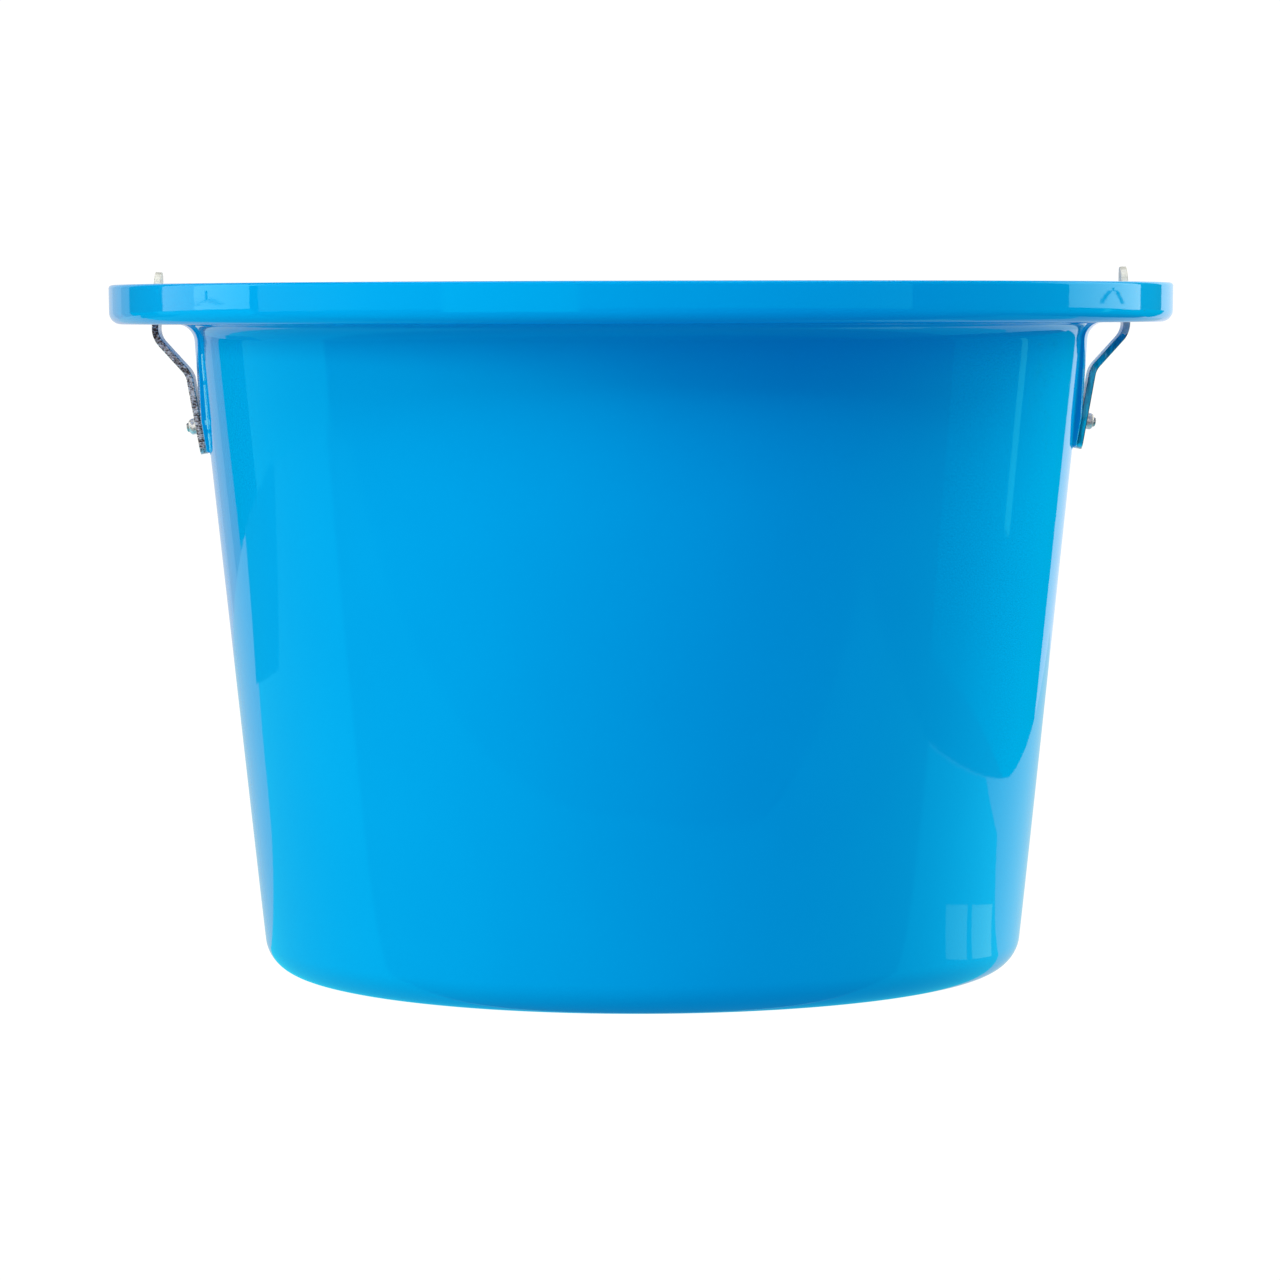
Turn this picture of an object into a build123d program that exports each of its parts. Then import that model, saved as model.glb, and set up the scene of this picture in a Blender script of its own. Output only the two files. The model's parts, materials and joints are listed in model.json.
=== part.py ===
"""Round stable feed bucket: moulded tub with a gutter rim, two riveted steel straps and a wire bail.

Millimetres, +Z up. The origin is the centre of the base, on the floor plane.
The straps stand at +X and -X, so the bail turns about an axis along X.
"""
from build123d import *
import math
import os

# Tub: a tapered round wall that flares into a flat ledge with an upturned outer lip.
BUCKET_HEIGHT = 265.0
RIM_RADIUS = 205.0
LIP_HEIGHT = 15.0
LIP_DRAFT = 0.15
WALL = 3.0
BASE_RADIUS = 145.55
WALL_SLOPE = 0.105
FLOOR_THICKNESS = 4.5
BASE_CORNER_RADIUS = 13.5
FLARE_RADIUS = 7.0
LIP_CORNER_RADIUS = 4.6
LIP_EDGE_RADIUS = 1.3
RECESS_RADIUS = 112.0
RECESS_DEPTH = 1.5
RECESS_DRAFT = 3.0

# Raised strap pads on the outside of the wall.
PAD_BOTTOM = 201.4
PAD_KINK = 213.5
PAD_UPPER_SLOPE = 0.065
PAD_HALF_WIDTH_BOTTOM = 25.0
PAD_HALF_WIDTH_TOP = 37.5
PAD_SIDE_FLARE = 4.0
PAD_CORNER_RADIUS = 2.5

# Straps: flat bar, bent twice, standing up through a slot in the ledge.
STRAP_WIDTH = 14.0
STRAP_THICKNESS = 2.5
STRAP_SLOPE = 0.18
STRAP_BOTTOM = 200.4
STRAP_TOP = 270.7
LOWER_BEND = (174.84, 231.3)
UPPER_BEND = (187.90, 245.7)
STRAP_TOP_X = 186.57
LOWER_BEND_RADIUS = 8.0
UPPER_BEND_RADIUS = 9.0
STRAP_END_RADIUS = 3.0
SLOT_CLEARANCE = 0.4
STRAP_SEAT_GAP = 0.02
STRAP_LIFT = {"left": -0.6, "right": 0.6}

# Blind rivet through strap, wall and backing washer.
RIVET_HEIGHT = 211.6
RIVET_RADIUS = 2.4
RIVET_HOLE_RADIUS = 2.45
RIVET_BORE_RADIUS = 1.35
RIVET_BULB_RADIUS = 3.4
RIVET_BULB_HEIGHT = 3.1
RIVET_FLANGE_RADIUS = 4.75
RIVET_FLANGE_HEIGHT = 1.4
MANDREL_RADIUS = 1.33
MANDREL_HEAD_RADIUS = 1.8
MANDREL_HEAD_HEIGHT = 0.8
MANDREL_BREAK = 0.5
WASHER_RADIUS = 8.0
WASHER_THICKNESS = 1.5
SEAT_RADIUS = 8.5
SEAT_DEPTH = 4.5

# Bail: round wire, hooked through the strap holes, lying folded in the gutter.
BAIL_AXIS_HEIGHT = 262.0
BAIL_RADIUS = 196.0
WIRE_RADIUS = 2.5
BAIL_SHOULDER_RADIUS = 6.0
BAIL_HOOK_RADIUS = 4.0
BAIL_HOOK_START = 185.0
BAIL_HOOK_LENGTH = 7.0
BAIL_HOLE_RADIUS = 2.58
BAIL_FLOOR_GAP = 0.3

LEDGE_UNDERSIDE = BUCKET_HEIGHT - LIP_HEIGHT
LEDGE_TOP = LEDGE_UNDERSIDE + WALL
WALL_ANGLE = math.atan(WALL_SLOPE)
WALL_ACROSS = WALL / math.cos(WALL_ANGLE)
STRAP_ANGLE = math.atan(STRAP_SLOPE)


def wall_radius(height):
    """Outer radius of the tapered wall at a height."""
    return BASE_RADIUS + WALL_SLOPE * height


def strap_inner_x(height):
    """X of the inner face of the lower leg of the +X strap at a height."""
    centre = LOWER_BEND[0] - STRAP_SLOPE * (LOWER_BEND[1] - height)
    return centre - STRAP_THICKNESS / 2 / math.cos(STRAP_ANGLE)


def pad_radius(height):
    """Outer radius of the pad's lower face, which the strap lies against."""
    return strap_inner_x(height) - STRAP_SEAT_GAP


def rounded_face(corners):
    """Closed face in the XZ plane from (x, z, corner radius) corners; radius 0 stays sharp."""
    face = Plane.XZ * make_face(Polyline(*[(x, z) for x, z, _ in corners], close=True))
    for x, z, radius in corners:
        if radius > 0:
            vertex = face.vertices().sort_by_distance((x, 0, z))[0]
            face = fillet(vertex, radius)
    return face


def tub():
    """Base, wall, flare, ledge and upturned lip as one turned section."""
    inner_top = wall_radius(LEDGE_TOP) - WALL_ACROSS
    inner_bottom = wall_radius(FLOOR_THICKNESS) - WALL_ACROSS
    section = rounded_face(
        [
            (0, RECESS_DEPTH, 0),
            (RECESS_RADIUS, RECESS_DEPTH, 1.0),
            (RECESS_RADIUS + RECESS_DRAFT, 0, 1.0),
            (BASE_RADIUS, 0, BASE_CORNER_RADIUS),
            (wall_radius(LEDGE_UNDERSIDE), LEDGE_UNDERSIDE, FLARE_RADIUS),
            (RIM_RADIUS - LIP_DRAFT, LEDGE_UNDERSIDE, LIP_CORNER_RADIUS),
            (RIM_RADIUS, BUCKET_HEIGHT, LIP_EDGE_RADIUS),
            (RIM_RADIUS - WALL, BUCKET_HEIGHT, LIP_EDGE_RADIUS),
            (RIM_RADIUS - WALL - LIP_DRAFT, LEDGE_TOP, LIP_CORNER_RADIUS - WALL),
            (inner_top, LEDGE_TOP, FLARE_RADIUS + WALL),
            (inner_bottom, FLOOR_THICKNESS, BASE_CORNER_RADIUS - WALL),
            (0, FLOOR_THICKNESS, 0),
        ]
    )
    return revolve(section, Axis.Z)


def pad(lift):
    """Raised pad on the +X side: an arc of wall stock, trimmed to the pad's outline."""
    buried = 1.5
    bottom = PAD_BOTTOM + lift
    low = bottom - 1
    high = LEDGE_UNDERSIDE + 1
    at_ledge = pad_radius(PAD_KINK) + PAD_UPPER_SLOPE * (LEDGE_UNDERSIDE - PAD_KINK)
    reach = at_ledge + 2 * FLARE_RADIUS
    section = rounded_face(
        [
            (wall_radius(low) - buried, low, 0),
            (pad_radius(low - lift), low, 0),
            (pad_radius(PAD_KINK), PAD_KINK + lift, 0),
            (at_ledge, LEDGE_UNDERSIDE, FLARE_RADIUS),
            (reach, LEDGE_UNDERSIDE, 0),
            (reach, high, 0),
            (wall_radius(high) - buried, high, 0),
        ]
    )
    half_angle = 25.0
    stock = Rot(0, 0, -half_angle) * revolve(section, Axis.Z, 2 * half_angle)
    flared = PAD_HALF_WIDTH_TOP + 1.5 * PAD_SIDE_FLARE
    half = [
        (PAD_HALF_WIDTH_BOTTOM, bottom, PAD_CORNER_RADIUS),
        (PAD_HALF_WIDTH_TOP, LEDGE_UNDERSIDE, PAD_SIDE_FLARE),
        (flared, LEDGE_UNDERSIDE, 0),
        (flared, high, 0),
    ]
    outline = rounded_face(half + [(-y, z, radius) for y, z, radius in reversed(half)])
    window = Rot(0, 0, 90) * extrude(outline, amount=RIM_RADIUS)
    return stock & window


def rivet_plane(lift):
    """Plane on the inner face of the +X strap at the rivet, with its normal pointing outwards."""
    return Plane(
        origin=(strap_inner_x(RIVET_HEIGHT), 0, RIVET_HEIGHT + lift),
        x_dir=(0, 1, 0),
        z_dir=(math.cos(STRAP_ANGLE), 0, -math.sin(STRAP_ANGLE)),
    )


def strap_centre_x(height):
    """X of the upright leg's centre line of the +X strap at a height."""
    rise = (height - UPPER_BEND[1]) / (STRAP_TOP - UPPER_BEND[1])
    return UPPER_BEND[0] + (STRAP_TOP_X - UPPER_BEND[0]) * rise


def bucket_body():
    """The whole moulding with its strap slots, rivet holes and washer seats."""
    body = tub()
    slot = Pos(strap_centre_x((LEDGE_UNDERSIDE + LEDGE_TOP) / 2), 0, LEDGE_UNDERSIDE) * Box(
        STRAP_THICKNESS + 2 * SLOT_CLEARANCE,
        STRAP_WIDTH + 2 * SLOT_CLEARANCE,
        4 * WALL,
    )
    for side, lift in STRAP_LIFT.items():
        hole = rivet_plane(lift) * Cylinder(RIVET_HOLE_RADIUS, 6 * WALL)
        seat = rivet_plane(lift) * Pos(0, 0, -SEAT_DEPTH - WALL) * Cylinder(SEAT_RADIUS, 2 * WALL)
        body += on_side(pad(lift), side)
        body -= on_side(slot, side)
        body -= on_side(hole, side)
        body -= on_side(seat, side)
    return body


def strap(lift):
    """The +X strap: side view bent twice, front view with round ends, holes for rivet and bail."""
    centre_line = FilletPolyline(
        (LOWER_BEND[0] - STRAP_SLOPE * (LOWER_BEND[1] - STRAP_BOTTOM), STRAP_BOTTOM),
        LOWER_BEND,
        UPPER_BEND,
        (STRAP_TOP_X, STRAP_TOP),
        radius=[LOWER_BEND_RADIUS, UPPER_BEND_RADIUS],
    )
    side_view = Plane.XZ * trace(centre_line, STRAP_THICKNESS)
    bar = extrude(side_view, amount=STRAP_WIDTH / 2, both=True)
    half = STRAP_WIDTH / 2
    front_view = rounded_face(
        [
            (-half, STRAP_BOTTOM, STRAP_END_RADIUS),
            (half, STRAP_BOTTOM, STRAP_END_RADIUS),
            (half, STRAP_TOP, half - 0.01),
            (-half, STRAP_TOP, half - 0.01),
        ]
    )
    window = Rot(0, 0, 90) * extrude(front_view, amount=RIM_RADIUS)
    bail_hole = Pos(UPPER_BEND[0], 0, BAIL_AXIS_HEIGHT) * Rot(0, 90, 0) * Cylinder(BAIL_HOLE_RADIUS, 20)
    rivet_hole = rivet_plane(lift) * Cylinder(RIVET_HOLE_RADIUS, 6 * WALL)
    return Pos(0, 0, lift) * (bar & window) - bail_hole - rivet_hole


def turned(plane, corners):
    """Body of revolution about the plane's normal, from (radius, height, corner radius) corners."""
    return plane * revolve(rounded_face(corners), Axis.Z)


def rivet(lift):
    """Set sleeve of the blind rivet: flange on the washer inside, clenched bulb on the strap outside."""
    bulb_top = STRAP_THICKNESS + RIVET_BULB_HEIGHT
    washer_face = -SEAT_DEPTH - WASHER_THICKNESS
    return turned(
        rivet_plane(lift),
        [
            (RIVET_BORE_RADIUS, washer_face - RIVET_FLANGE_HEIGHT, 0),
            (RIVET_FLANGE_RADIUS - 1.4, washer_face - RIVET_FLANGE_HEIGHT, 1.0),
            (RIVET_FLANGE_RADIUS, washer_face - 0.5, 0.4),
            (RIVET_FLANGE_RADIUS, washer_face, 0),
            (RIVET_RADIUS, washer_face, 0),
            (RIVET_RADIUS, STRAP_THICKNESS, 0),
            (RIVET_BULB_RADIUS - 0.2, STRAP_THICKNESS, 0),
            (RIVET_BULB_RADIUS, bulb_top, 1.7),
            (RIVET_BORE_RADIUS, bulb_top, 0),
        ],
    )


def mandrel(lift):
    """What stays of the rivet's mandrel: a stem broken off inside the flange, and its head on the bulb."""
    bulb_top = STRAP_THICKNESS + RIVET_BULB_HEIGHT
    break_face = MANDREL_BREAK - SEAT_DEPTH - WASHER_THICKNESS - RIVET_FLANGE_HEIGHT
    return turned(
        rivet_plane(lift),
        [
            (0, break_face, 0),
            (MANDREL_RADIUS, break_face, 0),
            (MANDREL_RADIUS, bulb_top, 0),
            (MANDREL_HEAD_RADIUS, bulb_top, 0),
            (MANDREL_HEAD_RADIUS, bulb_top + MANDREL_HEAD_HEIGHT, 0.7),
            (0, bulb_top + MANDREL_HEAD_HEIGHT, 0),
        ],
    )


def washer(lift):
    """Flat backing washer in its seat on the inside of the wall."""
    return turned(
        rivet_plane(lift),
        [
            (RIVET_HOLE_RADIUS, -SEAT_DEPTH - WASHER_THICKNESS, 0.2),
            (WASHER_RADIUS, -SEAT_DEPTH - WASHER_THICKNESS, 0.3),
            (WASHER_RADIUS, -SEAT_DEPTH, 0),
            (RIVET_HOLE_RADIUS, -SEAT_DEPTH, 0),
        ],
    )


def bail_rest_angle():
    """Degrees below level at which the folded bail lies just above the gutter floor."""
    drop = BAIL_AXIS_HEIGHT - LEDGE_TOP - WIRE_RADIUS - BAIL_FLOOR_GAP
    return math.degrees(math.asin(drop / BAIL_RADIUS))


def bail_handle():
    """Wire bail folded towards +Y: hooks inside the straps, pins through them, shoulders and one big arc."""
    shoulder_x = math.sqrt((BAIL_RADIUS - BAIL_SHOULDER_RADIUS) ** 2 - BAIL_SHOULDER_RADIUS**2)
    shoulder_angle = math.degrees(math.asin(BAIL_SHOULDER_RADIUS / (BAIL_RADIUS - BAIL_SHOULDER_RADIUS)))
    hook_x = BAIL_HOOK_START - BAIL_HOOK_RADIUS
    hook_end = BAIL_HOOK_RADIUS + BAIL_HOOK_LENGTH
    right_end = [
        Line((hook_x, hook_end), (hook_x, BAIL_HOOK_RADIUS)),
        CenterArc((BAIL_HOOK_START, BAIL_HOOK_RADIUS), BAIL_HOOK_RADIUS, 180, 90),
        Line((BAIL_HOOK_START, 0), (shoulder_x, 0)),
        CenterArc((shoulder_x, BAIL_SHOULDER_RADIUS), BAIL_SHOULDER_RADIUS, -90, 90 + shoulder_angle),
    ]
    left_end = [edge.mirror(Plane.YZ) for edge in right_end]
    big_arc = CenterArc((0, 0), BAIL_RADIUS, shoulder_angle, 180 - 2 * shoulder_angle)
    path = Wire(right_end + [big_arc] + left_end)
    tip = Plane(origin=path @ 0, z_dir=path % 0)
    wire = sweep(tip * Circle(WIRE_RADIUS), path)
    return Pos(0, 0, BAIL_AXIS_HEIGHT) * Rot(-bail_rest_angle(), 0, 0) * wire


def on_side(shape, side):
    """The shape as made for the +X side, or mirrored for the -X side."""
    return shape if side == "right" else mirror(shape, Plane.YZ)


def main():
    os.makedirs("parts", exist_ok=True)
    export_step(bucket_body(), "parts/bucket_body.step")
    export_step(bail_handle(), "parts/bail_handle.step")
    for side, lift in STRAP_LIFT.items():
        export_step(on_side(strap(lift), side), f"parts/strap_{side}.step")
        export_step(on_side(rivet(lift), side), f"parts/rivet_{side}.step")
        export_step(on_side(mandrel(lift), side), f"parts/rivet_mandrel_{side}.step")
        export_step(on_side(washer(lift), side), f"parts/washer_{side}.step")
    print("bail rests", round(bail_rest_angle(), 3), "degrees below level")


main()
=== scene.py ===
"""Looks of the stable feed bucket.

The pieces are a moulded tub, zinc-plated straps, blind rivets with washers, and a galvanised
wire bail. Their lengths are millimetres in the part's own frame until a mesh is made, where MM
turns them into metres. The stage is in metres throughout.
"""
import json
import math
import random

import bpy
from mathutils import Matrix, Vector


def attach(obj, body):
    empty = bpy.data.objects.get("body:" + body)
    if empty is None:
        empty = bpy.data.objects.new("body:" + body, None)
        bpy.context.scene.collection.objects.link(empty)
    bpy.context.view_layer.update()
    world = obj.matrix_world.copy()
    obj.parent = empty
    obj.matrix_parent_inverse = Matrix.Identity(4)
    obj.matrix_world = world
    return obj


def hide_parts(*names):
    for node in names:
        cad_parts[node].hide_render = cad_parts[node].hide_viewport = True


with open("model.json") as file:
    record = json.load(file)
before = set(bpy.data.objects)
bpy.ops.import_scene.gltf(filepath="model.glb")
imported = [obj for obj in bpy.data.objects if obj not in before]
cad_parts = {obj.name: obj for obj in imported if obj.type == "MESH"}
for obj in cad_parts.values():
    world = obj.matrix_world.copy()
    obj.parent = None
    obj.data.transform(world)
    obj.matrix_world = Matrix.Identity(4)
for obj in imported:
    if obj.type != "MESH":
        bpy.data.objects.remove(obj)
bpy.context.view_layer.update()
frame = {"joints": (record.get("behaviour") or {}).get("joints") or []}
MM = 0.001

# ---- Tub ----
RIM_HEIGHT = 265.0
RIM_RADIUS = 205.0
LIP_HEIGHT = 15.0
LIP_DRAFT = 0.15
WALL = 3.0
BASE_RADIUS = 145.55
WALL_SLOPE = 0.105
FLOOR_THICKNESS = 4.5
BASE_CORNER = 13.5
FLARE = 7.0
LIP_CORNER = 4.6
LIP_EDGE = 1.3
RECESS_RADIUS = 112.0
RECESS_DEPTH = 1.5
RECESS_DRAFT = 3.0
RECESS_CORNER = 1.0
LEDGE_UNDER = RIM_HEIGHT - LIP_HEIGHT
LEDGE_TOP = LEDGE_UNDER + WALL
WALL_ACROSS = WALL / math.cos(math.atan(WALL_SLOPE))
OUT_OF_ROUND = 0.10

# ---- Straps and pads; each side has the sign of its x and its lift above the drawn height ----
SIDES = {"left": (-1, -0.6), "right": (1, 0.6)}
STRAP_WIDTH = 14.0
STRAP_THICKNESS = 2.5
STRAP_CORNER = 0.3
STRAP_SLOPE = 0.18
STRAP_BOTTOM = 200.4
STRAP_TOP = 270.7
LOWER_BEND = (174.84, 231.3)
UPPER_BEND = (187.90, 245.7)
STRAP_TOP_X = 186.57
LOWER_BEND_RADIUS = 8.0
UPPER_BEND_RADIUS = 9.0
STRAP_END_RADIUS = 3.0
STRAP_TIP_HALF_WIDTH = 0.9
CUT_EDGE_FACING = 0.55
STRAP_ANGLE = math.atan(STRAP_SLOPE)
SLOT_GAP = 0.4
SLOT_HALF_WIDTH = STRAP_WIDTH / 2 + SLOT_GAP
PAD_BOTTOM = 201.4
PAD_KINK = 213.5
PAD_UPPER_SLOPE = 0.065
PAD_HALF_BOTTOM = 25.0
PAD_HALF_TOP = 37.5
PAD_FLARE = 4.0
PAD_FLARE_SHARE = 0.97
PAD_CORNER = 2.5
PAD_EDGE = 0.8
BEAD_PLACE = 0.55
BEAD_HALF_WIDTH = 0.5
BEAD_HEIGHT = 0.35
BEAD_TOP = LEDGE_UNDER - 12
# Above this height of the ridge, the left pad's faces get the paler plastic as a painted
# highlight.
BEAD_HIGHLIGHT_FROM = 0.35 * BEAD_HEIGHT

# ---- Rivets ----
RIVET_HEIGHT = 211.6
RIVET_BORE = 1.35
RIVET_RADIUS = 2.4
BULB_RADIUS = 3.4
BULB_HEIGHT = 3.1
BULB_CORNER = 1.7
BULB_CLENCH = 0.10
FLANGE_RADIUS = 4.75
FLANGE_HEIGHT = 1.4
MANDREL_RADIUS = 1.33
MANDREL_HEAD_RADIUS = 1.8
MANDREL_HEAD_HEIGHT = 0.8
MANDREL_BREAK = 0.5
MANDREL_CENTRE = 0.02
WASHER_RADIUS = 8.0
WASHER_HOLE = 2.45
WASHER_THICKNESS = 1.5
SEAT_DEPTH = 4.5

# ---- Bail ----
BAIL_AXIS = frame["joints"][0]["pos_m"][2] / MM
BAIL_RADIUS = 196.0
WIRE_RADIUS = 2.5
SHOULDER_RADIUS = 6.0
HOOK_RADIUS = 4.0
HOOK_START = 185.0
HOOK_LENGTH = 7.0
BAIL_HOLE_RADIUS = 2.58
DRILL_LENGTH = 20.0
FLOOR_GAP = 0.3
# Rings that round the wire's cut end: distance from the end and how much the radius is less.
TIP_RINGS = ((0.0, 0.6), (0.18, 0.18), (0.6, 0.0))

# ---- How finely the meshes are cut ----
COLUMNS_SLOT = 6
COLUMNS_PAD = 9
COLUMNS_EDGE = 22
COLUMNS_WALL = 70
EDGE_REACH = 1.8
CENTRE_RADIUS = 0.5
WALL_SPACING = 9.0
WALL_STEPS = 14
RIM_SPACING = 2.5
RIM_STEPS = 10
FINE_BOTTOM = PAD_BOTTOM - 2.4
FINE_TOP = PAD_BOTTOM + 1.8
FINE_SPACING = 0.2
PAD_ROWS = 24
STRAP_SPACING = 0.5
STRAP_STEPS = 14
FLAT_FROM = 1.0
FLAT_HOLDS = (0.08, 0.92)
TURNED_SPACING = 0.4
TURNED_STEPS = 6
SLEEVE_SIDES = 56
MANDREL_SIDES = 40
WASHER_SIDES = 72
HOLE_SIDES = 48
WIRE_SIDES = 28
HOOK_STEPS = 12
SHOULDER_STEPS = 14
ARC_STEPS = 180
# Edges sharper than this many degrees stay crisp.
SHARP_ANGLE = 35.0
TUB_SHARP_ANGLE = 50.0

# ---- Camera, light and stage, in metres ----
CAMERA_PLACE = (-0.0007, -1.8439, 0.2537)
CAMERA_DIP = 0.0687
CAMERA_ROLL = -0.00262
CAMERA_LENS = 133.5
CAMERA_SENSOR = 36.0
LIGHT_DISTANCE = 2.0
LIGHT_AIM = (0, 0, 0.13)
PANEL_DISTANCE = 1.6
STAND_DISTANCE = 1.5
FLOOR_REACH = 30.0
FLOOR_LEVEL = -0.0002
BASE_GLOW_REACH = 0.25
BASE_GLOW_LEVEL = -0.0001
OVERHEAD_REACH = 0.9
OVERHEAD_LEVEL = 1.8
PURE_WHITE = (1.05, 1.05, 1.05)
FILL_COLOUR = (0.50, 0.508, 0.624)
ROOM_COLOUR = (0.02, 0.025, 0.03)
STAND_COLOUR = (0.02, 0.02, 0.02)


# ---------------------------------------------------------------- outlines

def spread(a, b, spacing):
    """Points after a up to and including b, at most spacing apart."""
    count = max(1, math.ceil(math.dist(a, b) / spacing))
    return [tuple(p + (q - p) * k / count for p, q in zip(a, b)) for k in range(1, count + 1)]


def corner_arc(before, corner, after, radius, steps):
    """Points of the arc that rounds a corner, both tangent points included."""
    c = Vector(corner)
    u = (Vector(before) - c).normalized()
    v = (Vector(after) - c).normalized()
    half = math.acos(max(-1.0, min(1.0, u.dot(v)))) / 2
    centre = c + (u + v).normalized() * (radius / math.sin(half))
    start = c + u * (radius / math.tan(half)) - centre
    turn = start.angle_signed(c + v * (radius / math.tan(half)) - centre)
    return [
        tuple(centre + Matrix.Rotation(-turn * k / steps, 2) @ start) for k in range(steps + 1)
    ]


def arc_points(centre, radius, start, sweep, steps):
    """Points along an arc after its first one, the last included."""
    points = []
    for k in range(1, steps + 1):
        angle = start + sweep * k / steps
        points.append((centre[0] + radius * math.cos(angle), centre[1] + radius * math.sin(angle)))
    return points


def rounded(corners, spacing, steps):
    """Open outline through (x, y, radius) corners, its straights cut to the spacing."""
    points = [corners[0][:2]]
    for k in range(1, len(corners)):
        x, y, radius = corners[k]
        if radius > 0:
            arc = corner_arc(corners[k - 1][:2], (x, y), corners[k + 1][:2], radius, steps)
        else:
            arc = [(x, y)]
        points += spread(points[-1], arc[0], spacing) + arc[1:]
    return points


def full_turn(count):
    return [2 * math.pi * k / count for k in range(count)]


def tangent_at(line, k):
    """Direction of a line of points at its point k."""
    ahead = Vector(line[min(k + 1, len(line) - 1)])
    behind = Vector(line[max(k - 1, 0)])
    return (ahead - behind).normalized()


def wall_radius(height):
    return BASE_RADIUS + WALL_SLOPE * height


def strap_inner_x(height):
    """Where the flat foot of a strap meets its pad."""
    centre = LOWER_BEND[0] - STRAP_SLOPE * (LOWER_BEND[1] - height)
    return centre - STRAP_THICKNESS / 2 / math.cos(STRAP_ANGLE)


def smooth(t):
    t = max(0.0, min(1.0, t))
    return t * t * (3 - 2 * t)


# ---------------------------------------------------------------- mesh making

def millimetre_mesh(name, vertices, faces):
    mesh = bpy.data.meshes.new(name)
    mesh.from_pydata([tuple(c * MM for c in v) for v in vertices], [], faces)
    return mesh


def shade(mesh, sharp):
    """Smooth shading, with edges sharper than an angle in degrees left crisp."""
    mesh.shade_smooth()
    mesh.set_sharp_from_angle(angle=math.radians(sharp))


def add_to_scene(name, data):
    thing = bpy.data.objects.new(name, data)
    bpy.context.scene.collection.objects.link(thing)
    return thing


def new_piece(name, vertices, faces, materials, body, node, sharp=SHARP_ANGLE):
    """Mesh object from millimetre vertices, riding on a body and standing for a CAD node."""
    mesh = millimetre_mesh(name, vertices, faces)
    mesh.validate()
    shade(mesh, sharp)
    piece = add_to_scene(name, mesh)
    for material in materials:
        mesh.materials.append(material)
    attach(piece, body)
    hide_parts(node)
    return piece


def band(count, low, high, columns):
    """Quads between two rings of a mesh, each ring of count points, in the columns given."""
    faces = []
    for j in columns:
        k = (j + 1) % count
        faces.append((low * count + j, low * count + k, high * count + k, high * count + j))
    return faces


def skin(rings):
    """Quads between closed rings of the same length, with the two ends capped."""
    count = len(rings[0])
    vertices = [v for ring in rings for v in ring]
    faces = []
    for i in range(len(rings) - 1):
        faces += band(count, i, i + 1, range(count))
    faces.append(tuple(reversed(range(count))))
    faces.append(tuple(range((len(rings) - 1) * count, len(rings) * count)))
    return vertices, faces


def lathe(section, count, place, wobble=None):
    """Turned ring solid: a closed (radius, height) section swept round, placed by a matrix."""
    vertices = []
    for radius, height in section:
        for angle in full_turn(count):
            r = radius + (wobble(radius, height, angle) if wobble else 0.0)
            point = Vector((r * math.cos(angle), r * math.sin(angle), height))
            vertices.append(tuple(place @ point))
    faces = []
    for i in range(len(section)):
        faces += band(count, i, (i + 1) % len(section), range(count))
    return vertices, faces


# ---------------------------------------------------------------- tub

def pad_half_width(height):
    """Half width of the pad's outline at a height, with its flare into the ledge."""
    rise = (height - PAD_BOTTOM) / (LEDGE_UNDER - PAD_BOTTOM)
    straight = PAD_HALF_BOTTOM + (PAD_HALF_TOP - PAD_HALF_BOTTOM) * max(0.0, min(1.0, rise))
    into = height - (LEDGE_UNDER - PAD_FLARE)
    into = max(0.0, min(PAD_FLARE_SHARE * PAD_FLARE, into))
    return straight + PAD_FLARE - math.sqrt(PAD_FLARE**2 - into**2)


def quadrant_angles(radius, height):
    """Angles from the strap's axis to the next quadrant's end, crowded at the pad's edge."""
    half = pad_half_width(height)
    inner_end = half - EDGE_REACH
    pad_span = inner_end - SLOT_HALF_WIDTH
    across = [SLOT_HALF_WIDTH * k / COLUMNS_SLOT for k in range(COLUMNS_SLOT)]
    across += [SLOT_HALF_WIDTH + pad_span * k / COLUMNS_PAD for k in range(COLUMNS_PAD)]
    across += [inner_end + 2 * EDGE_REACH * k / COLUMNS_EDGE for k in range(COLUMNS_EDGE)]
    angles = [math.asin(y / radius) for y in across]
    last = math.asin((half + EDGE_REACH) / radius)
    angles += [last + (math.pi / 2 - last) * k / COLUMNS_WALL for k in range(COLUMNS_WALL)]
    return angles


def ring_angles(radius, height):
    """All the way round: four mirrored quadrants."""
    q = quadrant_angles(radius, height)
    back = [math.pi - a for a in reversed(q[1:])]
    upper = q + [math.pi / 2] + back
    return upper + [a + math.pi for a in upper]


def pad_distance(y, height, lift):
    """How far a point on the wall lies outside the pad's outline, negative on the pad."""
    side = abs(y) - pad_half_width(height)
    under = PAD_BOTTOM + lift - height
    outside = math.hypot(max(side + PAD_CORNER, 0.0), max(under + PAD_CORNER, 0.0))
    return outside - PAD_CORNER + min(max(side, under) + PAD_CORNER, 0.0)


def pad_share(distance):
    """1 on the pad, 0 off it, with a rounded step between."""
    return 1.0 - smooth(0.5 + distance / PAD_EDGE)


def pad_bead(distance, height):
    """Fine uneven ridge along the foot of the pad's side, left by the mould's joint."""
    across = (distance - BEAD_PLACE) / BEAD_HALF_WIDTH
    if abs(across) > 1 or height > BEAD_TOP:
        return 0.0
    uneven = 0.75 + 0.25 * math.sin(height * 3.1) * math.sin(height * 1.7 + 1.0)
    return BEAD_HEIGHT * uneven * (1 - across**2) ** 2


def wall_wobble(angle, height):
    """The slight out-of-round of a thin moulding, fading out at the base and at the ledge."""
    fade = smooth(height / 30.0) * smooth((LEDGE_UNDER - 6 - height) / 40.0)
    wave = math.sin(2 * angle + 0.6) + 0.5 * math.sin(3 * angle + 2.0 + height / 90.0)
    return OUT_OF_ROUND * fade * (wave + 0.4 * math.sin(height / 38.0 + 4 * angle))


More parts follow.
